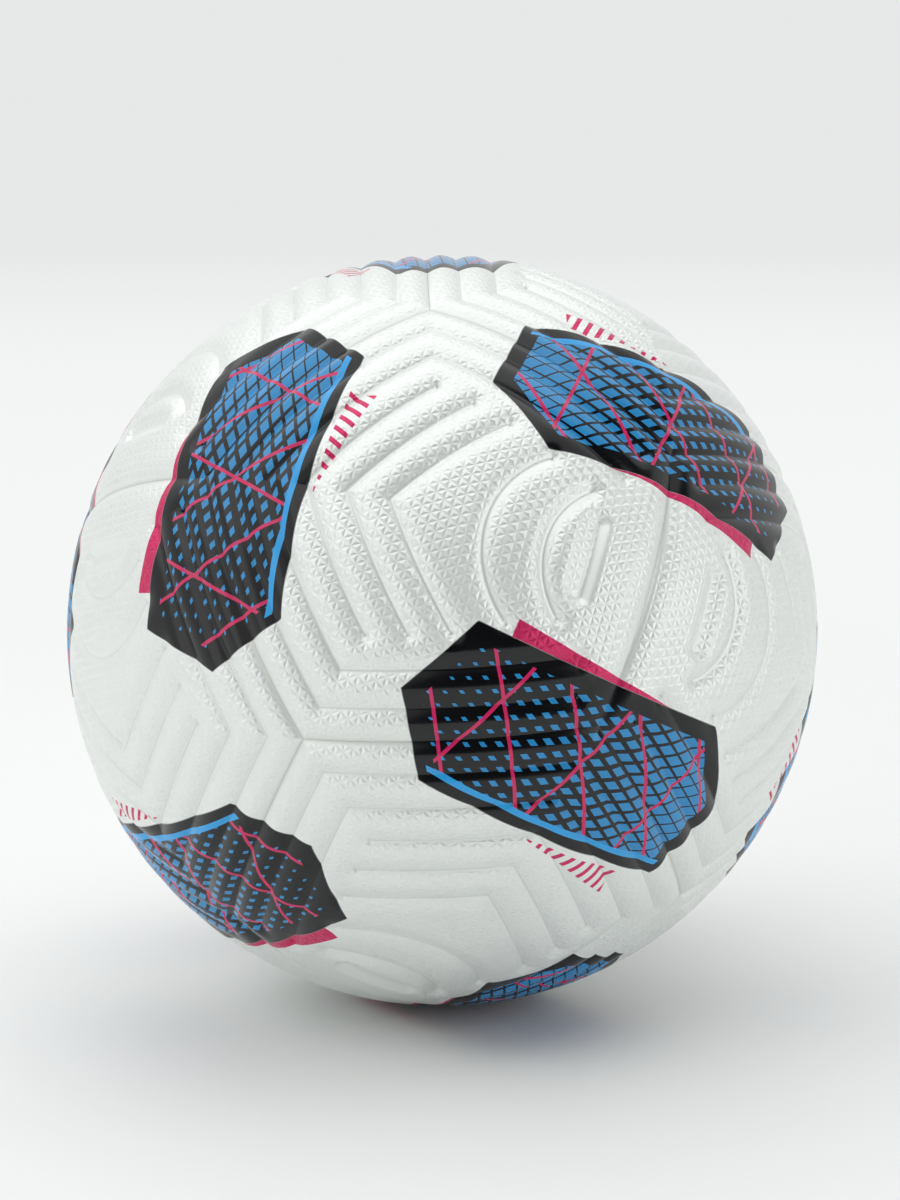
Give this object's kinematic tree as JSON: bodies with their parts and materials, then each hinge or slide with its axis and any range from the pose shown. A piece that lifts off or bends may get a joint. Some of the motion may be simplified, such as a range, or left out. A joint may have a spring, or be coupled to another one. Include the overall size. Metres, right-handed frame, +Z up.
{
  "type": "futsal ball",
  "caption": "Futsal ball of embossed pentagon panels on foam, over a textile carcass and a bladder with a plug valve and a low-bounce filling.",
  "frame": {"origin": "centre of the ball", "axes": "+Z up from the floor that the ball lies on, -Y towards the picture's camera, +X to the camera's right"},
  "size_m": [0.2002, 0.2002, 0.2004],
  "materials": {
    "cover": "pearl white synthetic leather, embossed, with a gloss print",
    "foam": "closed-cell foam",
    "carcass": "wound textile bonded with latex",
    "bladder": "butyl rubber",
    "valve": "moulded rubber",
    "filling": "loose fibre wad"
  },
  "bodies": {
    "root": {"panel_cover_01": "cover", "panel_cover_02": "cover", "panel_cover_03": "cover", "panel_cover_04": "cover", "panel_cover_05": "cover", "panel_cover_06": "cover", "panel_cover_07": "cover", "panel_cover_08": "cover", "panel_cover_09": "cover", "panel_cover_10": "cover", "panel_cover_11": "cover", "panel_cover_12": "cover", "panel_foam_01": "foam", "panel_foam_02": "foam", "panel_foam_03": "foam", "panel_foam_04": "foam", "panel_foam_05": "foam", "panel_foam_06": "foam", "panel_foam_07": "foam", "panel_foam_08": "foam", "panel_foam_09": "foam", "panel_foam_10": "foam", "panel_foam_11": "foam", "panel_foam_12": "foam", "textile_carcass": "carcass", "bladder": "bladder", "valve_boss": "valve", "valve_plug": "valve", "low_bounce_filling": "filling"}
  },
  "joints": []
}
